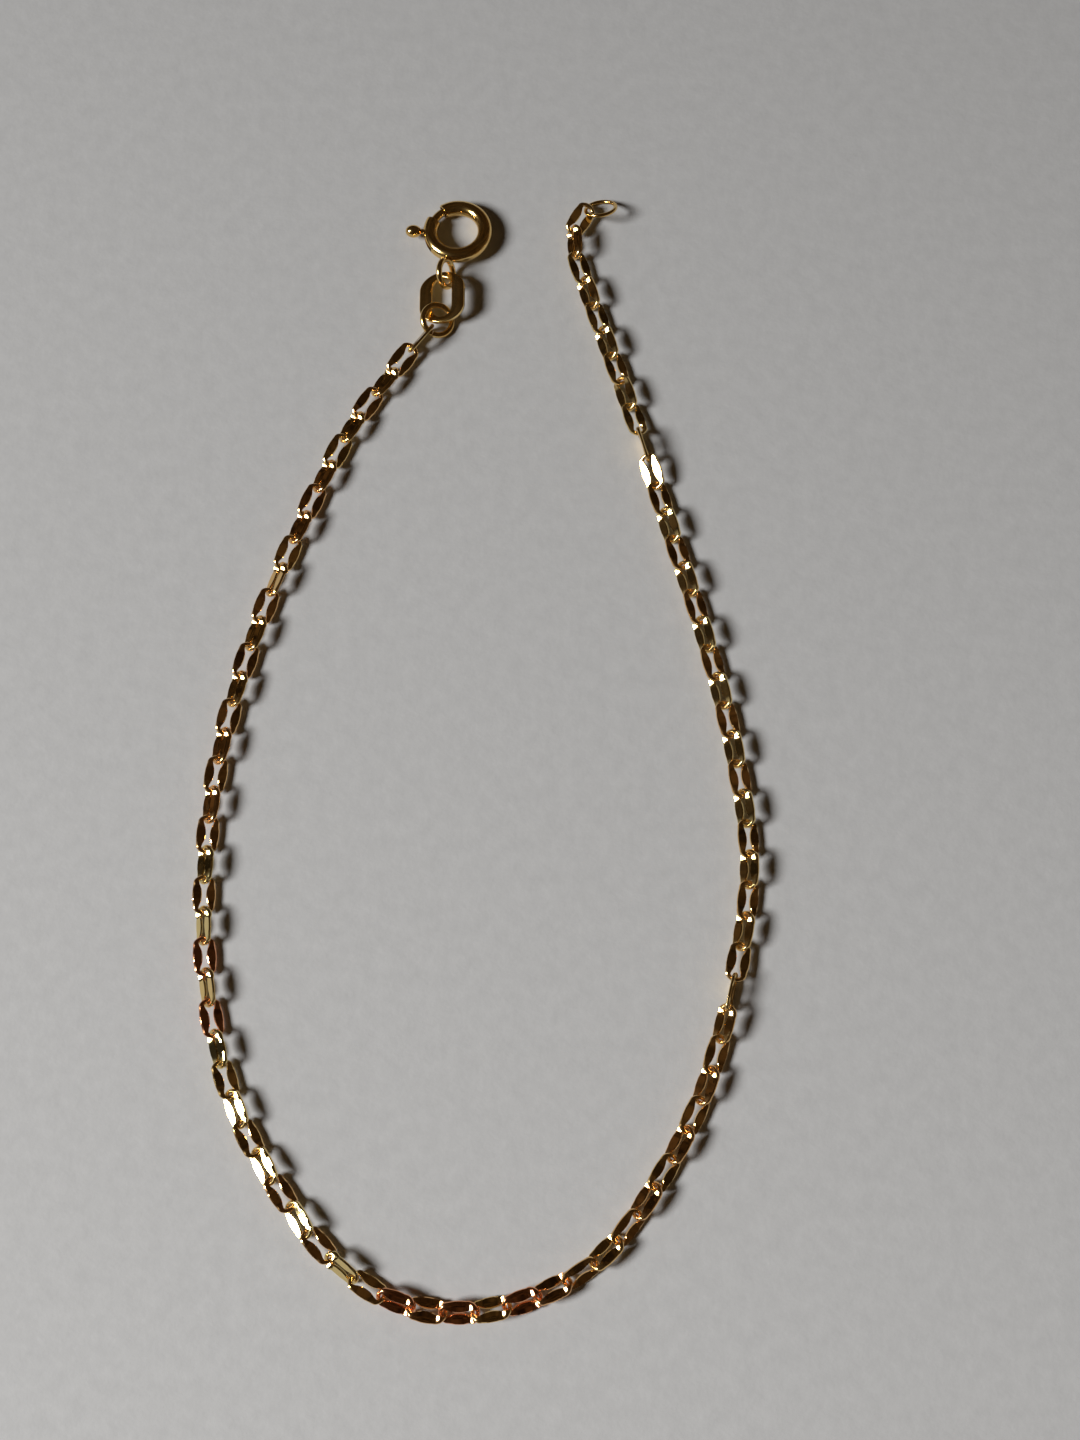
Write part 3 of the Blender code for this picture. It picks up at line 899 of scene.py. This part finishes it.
    def build(self, finish: bpy.types.Material) -> float:
        """Build both stretches of the chain.

        Args:
            finish: Finish of the links.

        Returns:
            The roll of the last link in degrees.
        """
        rng = random.Random(self.seed)
        joints = self.joints()
        count = len(joints) - 1
        half = count // 2
        stretches = {"chain_clasp_side": range(1, half + 1), "chain_ring_side": range(half + 1, count + 1)}
        for node, numbers in stretches.items():
            bm = bmesh.new()
            for number in numbers:
                self.add_link(bm, self.link_place(joints, number), number, rng)
            piece = finish_piece(f"{node}_links", bm, finish, sharp=32.0)
            place_piece(piece, Body.BRACELET, node)
        return self.link_roll(count)


@dataclass
class OvalTag:
    """The oval tag with straight sides, an oval hole and softly rounded edges."""

    width: float = 3.40 * MM
    length: float = 3.90 * MM
    straight: float = 1.30 * MM
    thickness: float = 0.34 * MM
    hole_width: float = 1.50 * MM
    hole_length: float = 3.00 * MM
    lean: float = 15.0
    rounding: float = 0.10 * MM
    rim_angle: float = 60.0
    end_steps: int = 28

    def outline(self, bm: bmesh.types.BMesh, width: float, length: float) -> list[bmesh.types.BMEdge]:
        """Add an oval outline with straight sides.

        Args:
            bm: Mesh to add to.
            width: Width of the oval.
            length: Length of the oval.

        Returns:
            The edges of the outline.
        """
        ring = bmesh.ops.create_circle(bm, segments=4 * self.end_steps, radius=1.0)["verts"]
        rise = (length - self.straight) / 2
        for vert in ring:
            shift = math.copysign(self.straight / 2, vert.co.y) if abs(vert.co.y) > 1e-6 else 0.0
            vert.co = Vector((vert.co.x * width / 2, vert.co.y * rise + shift, 0.0))
        return list({edge for vert in ring for edge in vert.link_edges})

    def build(self, finish: bpy.types.Material) -> None:
        """Build the tag.

        Args:
            finish: Finish of the tag.
        """
        bm = bmesh.new()
        outer = self.outline(bm, self.width, self.length)
        inner = self.outline(bm, self.hole_width, self.hole_length)
        face = bmesh.ops.bridge_loops(bm, edges=outer + inner)["faces"]
        made = bmesh.ops.extrude_face_region(bm, geom=face)["geom"]
        lifted = [item for item in made if isinstance(item, bmesh.types.BMVert)]
        bmesh.ops.translate(bm, vec=(0, 0, self.thickness), verts=lifted)
        bmesh.ops.translate(bm, vec=(0, 0, -self.thickness / 2), verts=bm.verts)
        bmesh.ops.recalc_face_normals(bm, faces=bm.faces)
        rims = [edge for edge in bm.edges if edge.calc_face_angle(0.0) > math.radians(self.rim_angle)]
        bmesh.ops.bevel(
            bm, geom=rims, offset=self.rounding, segments=4, profile=0.5, affect="EDGES", material=-1
        )
        low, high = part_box("tag_plate")
        lean = Matrix.Rotation(math.radians(-self.lean), 4, "Y")
        bmesh.ops.transform(bm, matrix=Matrix.Translation((low + high) / 2) @ lean, verts=bm.verts)
        piece = finish_piece("tag_plate_oval", bm, finish, sharp=30.0)
        place_piece(piece, Body.BRACELET, "tag_plate")


@dataclass
class SpringRing:
    """The spring ring clasp: a hollow ring with a gap, its soldered loop, and the sliding bolt."""

    diameter: float = 5.00 * MM
    tube: float = 1.06 * MM
    bore: float = 0.82 * MM
    gap_start: float = 136.0
    gap_angle: float = 29.0
    bore_run_out: float = 3.0
    loop_diameter: float = 2.30 * MM
    loop_wire: float = 0.42 * MM
    loop_lean: float = 24.0
    loop_steps: int = 72
    solder_depth: float = 0.12 * MM
    solder_size: float = 0.72
    solder_squeeze: float = 0.62
    solder_seat: float = 0.2
    bolt_wire: float = 0.58 * MM
    bolt_grip: float = 8.0
    bolt_tail: float = 12.0
    bolt_travel: float = 36.0
    knob_angle: float = 191.0
    stem_wire: float = 0.35 * MM
    knob_diameter: float = 0.90 * MM
    knob_length: float = 1.15 * MM
    knob_gap: float = 0.13 * MM
    slot_clearance: float = 0.08 * MM
    slot_reach: float = 0.05 * MM
    step_angle: float = 2.5
    tube_sides: int = 28
    wire_sides: int = 20

    def place(self) -> Matrix:
        """Read the clasp's place from the axis of its joint.

        Returns:
            A matrix with Z on the axis and Y away from the loop.
        """
        joint = next(item for item in frame["joints"] if item["name"] == "clasp_bolt_slide")
        axis = Vector(joint["axis"]).normalized()
        sideways = Vector((0, 0, 1)).cross(axis)
        across = -sideways.normalized()
        forward = axis.cross(across)
        turn = Matrix((across, forward, axis)).transposed()
        if forward.y < 0:
            turn = turn @ Matrix.Rotation(math.radians(180.0), 3, "Z")
        return Matrix.Translation(joint["pos_m"]) @ turn.to_4x4()

    def steps(self, start: float, end: float) -> int:
        """Return the steps of an arc."""
        return max(2, round((end - start) / self.step_angle))

    def arc(self, diameter: float, wire: float, start: float, end: float, sides: int) -> bmesh.types.BMesh:
        """Return a bent wire about the clasp's axis."""
        return wire_arc(diameter, wire, start, end, self.steps(start, end), sides)

    def slot_cutter(self) -> bmesh.types.BMesh:
        """Build the cutter of the slot that the knob's stem slides in.

        Returns:
            An arc of rectangular section.
        """
        height = self.stem_wire + 2 * self.slot_clearance
        margin = math.degrees(height / self.diameter)
        start = self.knob_angle - margin
        sweep = self.bolt_travel + 2 * margin
        bm = bmesh.new()
        inner = (self.diameter - self.tube) / 2
        outer = self.diameter / 2 + self.slot_reach
        made = bmesh.ops.create_grid(bm, x_segments=1, y_segments=1, size=0.5)["verts"]
        shape = Matrix.Translation(((inner + outer) / 2, 0, 0))
        shape = shape @ Matrix.Diagonal((outer - inner, 1, height, 1))
        upright = Matrix.Rotation(math.radians(90.0), 4, "X")
        begin = Matrix.Rotation(math.radians(start), 4, "Z")
        bmesh.ops.transform(bm, matrix=begin @ shape @ upright, verts=made)
        bmesh.ops.spin(
            bm,
            geom=list(bm.verts) + list(bm.edges) + list(bm.faces),
            cent=(0, 0, 0),
            axis=(0, 0, 1),
            angle=math.radians(sweep),
            steps=self.steps(0, sweep),
            use_merge=False,
        )
        bmesh.ops.remove_doubles(bm, verts=bm.verts, dist=1e-7)
        rims = [edge for edge in bm.edges if edge.is_boundary]
        if rims:
            bmesh.ops.holes_fill(bm, edges=rims, sides=0)
        return bm

    def loop(self) -> bmesh.types.BMesh:
        """Build the small loop, upright at the foot of the ring.

        Returns:
            The loop in the clasp's own place.
        """
        bm = wire_arc(self.loop_diameter, self.loop_wire, 0.0, 360.0, self.loop_steps, self.wire_sides)
        reach = (self.diameter + self.loop_diameter) / 2 - self.solder_depth
        upright = Matrix.Rotation(math.radians(90.0 - self.loop_lean), 4, "Y")
        bmesh.ops.transform(bm, matrix=Matrix.Translation((0, -reach, 0)) @ upright, verts=bm.verts)
        return bm

    def solder(self) -> bmesh.types.BMesh:
        """Build the bead of solder between ring and loop.

        Returns:
            The bead in the clasp's own place.
        """
        bm = bmesh.new()
        bmesh.ops.create_uvsphere(bm, u_segments=28, v_segments=16, radius=self.loop_wire * self.solder_size)
        squeeze = Matrix.Diagonal((1.0, self.solder_squeeze, 1.0, 1.0))
        seat = Matrix.Translation((0, -self.diameter / 2 + self.solder_depth * self.solder_seat, 0))
        bmesh.ops.transform(bm, matrix=seat @ squeeze, verts=bm.verts)
        return bm

    def build_case(self, place: Matrix, finish: bpy.types.Material) -> None:
        """Build the hollow ring with its slot and loop.

        Args:
            place: The clasp's matrix.
            finish: Finish of the clasp.
        """
        start, end = self.gap_start + self.gap_angle, self.gap_start + 360.0
        tube = self.arc(self.diameter, self.tube, start, end, self.tube_sides)
        bore_diameter = self.diameter - self.tube + self.bore
        run_out = self.bore_run_out
        bore = self.arc(bore_diameter, self.bore, start - run_out, end + run_out, self.wire_sides)
        steps = [("UNION", self.loop()), ("UNION", self.solder())]
        steps += [("DIFFERENCE", bore), ("DIFFERENCE", self.slot_cutter())]
        bm = apply_booleans("case", tube, steps)
        bmesh.ops.transform(bm, matrix=place, verts=bm.verts)
        piece = finish_piece("clasp_case_ring", bm, finish, sharp=35.0)
        place_piece(piece, Body.BRACELET, "clasp_case")

    def build_bolt(self, place: Matrix, finish: bpy.types.Material) -> None:
        """Build the bolt with its stem and knob.

        Args:
            place: The clasp's matrix.
            finish: Finish of the clasp.
        """
        path = (self.diameter - self.tube) / 2
        wire = self.arc(
            2 * path + self.bolt_wire,
            self.bolt_wire,
            self.gap_start - self.bolt_grip,
            self.knob_angle + self.bolt_tail,
            self.wire_sides,
        )
        outward = Matrix.Rotation(math.radians(self.knob_angle), 4, "Z")
        outward = outward @ Matrix.Rotation(math.radians(90.0), 4, "Y")
        centre = self.diameter / 2 + self.knob_gap + self.knob_length / 2
        stem = bmesh.new()
        bmesh.ops.create_cone(
            stem,
            cap_ends=True,
            segments=self.wire_sides,
            radius1=self.stem_wire / 2,
            radius2=self.stem_wire / 2,
            depth=centre - path,
            matrix=outward @ Matrix.Translation((0, 0, (path + centre) / 2)),
        )
        knob = bmesh.new()
        stretch = Matrix.Diagonal((1.0, 1.0, self.knob_length / self.knob_diameter, 1.0))
        bmesh.ops.create_uvsphere(
            knob,
            u_segments=36,
            v_segments=24,
            radius=self.knob_diameter / 2,
            matrix=outward @ Matrix.Translation((0, 0, centre)) @ stretch,
        )
        bm = apply_booleans("bolt", wire, [("UNION", stem), ("UNION", knob)])
        bmesh.ops.transform(bm, matrix=place, verts=bm.verts)
        piece = finish_piece("clasp_bolt_wire", bm, finish, sharp=40.0)
        place_piece(piece, Body.BOLT, "clasp_bolt")

    def build(self, finish: bpy.types.Material) -> None:
        """Build the clasp.

        Args:
            finish: Finish of the clasp.
        """
        place = self.place()
        self.build_case(place, finish)
        self.build_bolt(place, finish)


@dataclass
class Studio:
    """Paper floor, soft key light, dim room and the camera above."""

    camera_place: tuple[float, float, float] = (10.37, -25.184, 112.15)
    camera_tilt_x: float = 12.7
    camera_tilt_y: float = 3.1
    sensor_width: float = 36.0
    clips: tuple[float, float] = (0.005, 5.0)
    focal_pixels: float = 1700.0
    image_pixels: float = 1440.0
    floor_size: float = 1.6
    key_azimuth: float = 192.0
    key_elevation: float = 38.0
    key_distance: float = 0.80
    key_size: float = 0.28
    key_power: float = 6.9
    key_colour: tuple[float, float, float] = (1.0, 1.0, 0.985)
    zenith: tuple[float, float, float] = (0.058, 0.036, 0.018)
    middle: tuple[float, float, float] = (0.085, 0.052, 0.026)
    horizon_left: tuple[float, float, float] = (0.055, 0.036, 0.018)
    horizon_right: tuple[float, float, float] = (0.34, 0.25, 0.17)
    sky_stops: tuple[float, float] = (0.30, 0.85)
    patch_scale: float = 7.0
    patch_stops: tuple[tuple[float, float], ...] = ((0.38, 0.10), (0.52, 0.42), (0.68, 1.0))

    def build_floor(self) -> None:
        """Build the sheet of paper."""
        bm = bmesh.new()
        bmesh.ops.create_grid(bm, x_segments=1, y_segments=1, size=self.floor_size / 2)
        floor = finish_piece("paper", bm, Paper("pale paper").material())

    def build_camera(self) -> None:
        """Build the camera at the photo's angle."""
        camera = bpy.data.cameras.new("camera")
        camera.sensor_width = self.sensor_width
        camera.lens = camera.sensor_width * self.focal_pixels / self.image_pixels
        camera.clip_start, camera.clip_end = self.clips
        item = bpy.data.objects.new("camera", camera)
        bpy.context.collection.objects.link(item)
        turn = Matrix.Rotation(math.radians(self.camera_tilt_y), 4, "Y")
        turn = turn @ Matrix.Rotation(math.radians(self.camera_tilt_x), 4, "X")
        item.matrix_world = Matrix.Translation(Vector(self.camera_place) * MM) @ turn
        bpy.context.scene.camera = item

    def key_direction(self) -> Vector:
        """Return the unit vector towards the key light."""
        azimuth, elevation = math.radians(self.key_azimuth), math.radians(self.key_elevation)
        level = math.cos(elevation)
        return Vector((math.cos(azimuth) * level, math.sin(azimuth) * level, math.sin(elevation)))

    def build_key(self) -> None:
        """Build the key light at the left."""
        light = bpy.data.lights.new("key", "AREA")
        light.shape = "DISK"
        light.size = self.key_size
        light.energy = self.key_power
        light.color = self.key_colour
        item = bpy.data.objects.new("key", light)
        bpy.context.collection.objects.link(item)
        away = self.key_direction()
        item.location = away * self.key_distance
        item.rotation_mode = "QUATERNION"
        item.rotation_quaternion = away.to_track_quat("Z", "Y")

    def build_world(self) -> None:
        """Build the dim room: dark and patchy above, paler towards the right."""
        world = bpy.data.worlds.new("room")
        world.use_nodes = True
        bpy.context.scene.world = world
        tree = world.node_tree
        place = tree.nodes.new("ShaderNodeTexCoord")
        parts = tree.nodes.new("ShaderNodeSeparateXYZ")
        tree.links.new(place.outputs["Generated"], parts.inputs["Vector"])
        sides = []
        for horizon in (self.horizon_left, self.horizon_right):
            stops = [(0.0, horizon), *zip(self.sky_stops, (self.middle, self.zenith))]
            sides.append(ramp(tree, parts.outputs["Z"], stops).outputs["Color"])
        mix = tree.nodes.new("ShaderNodeMixRGB")
        tree.links.new(spread(tree, parts.outputs["X"], 0.0, 1.0).outputs["Result"], mix.inputs["Fac"])
        tree.links.new(sides[0], mix.inputs["Color1"])
        tree.links.new(sides[1], mix.inputs["Color2"])
        patches = tree.nodes.new("ShaderNodeTexNoise")
        patches.inputs["Scale"].default_value = self.patch_scale
        tree.links.new(place.outputs["Generated"], patches.inputs["Vector"])
        tone = ramp(tree, patches.outputs["Fac"], [(at, (level,) * 3) for at, level in self.patch_stops])
        shaded = tree.nodes.new("ShaderNodeVectorMath")
        shaded.operation = "MULTIPLY"
        tree.links.new(mix.outputs["Color"], shaded.inputs[0])
        tree.links.new(tone.outputs["Color"], shaded.inputs[1])
        tree.links.new(shaded.outputs["Vector"], tree.nodes["Background"].inputs["Color"])

    def build(self) -> None:
        """Build the camera, the floor, the key light and the room."""
        scene = bpy.context.scene
        scene.view_settings.view_transform = "Standard"
        scene.view_settings.look = "None"
        self.build_camera()
        self.build_floor()
        self.build_key()
        self.build_world()


def main() -> None:
    """Dress the bracelet, piece by piece."""
    logging.basicConfig(level=logging.INFO, format="%(message)s")
    studio = Studio()
    studio.build()
    mirror = MirrorGold("mirror gold").material()
    polished = PolishedGold("polished gold").material()
    chain = Chain(light=studio.key_direction(), eye=Vector(studio.camera_place) * MM)
    last_roll = chain.build(mirror)
    chain.rings.build(last_roll, polished)
    OvalTag().build(polished)
    SpringRing().build(polished)


if __name__ == "__main__":
    main()
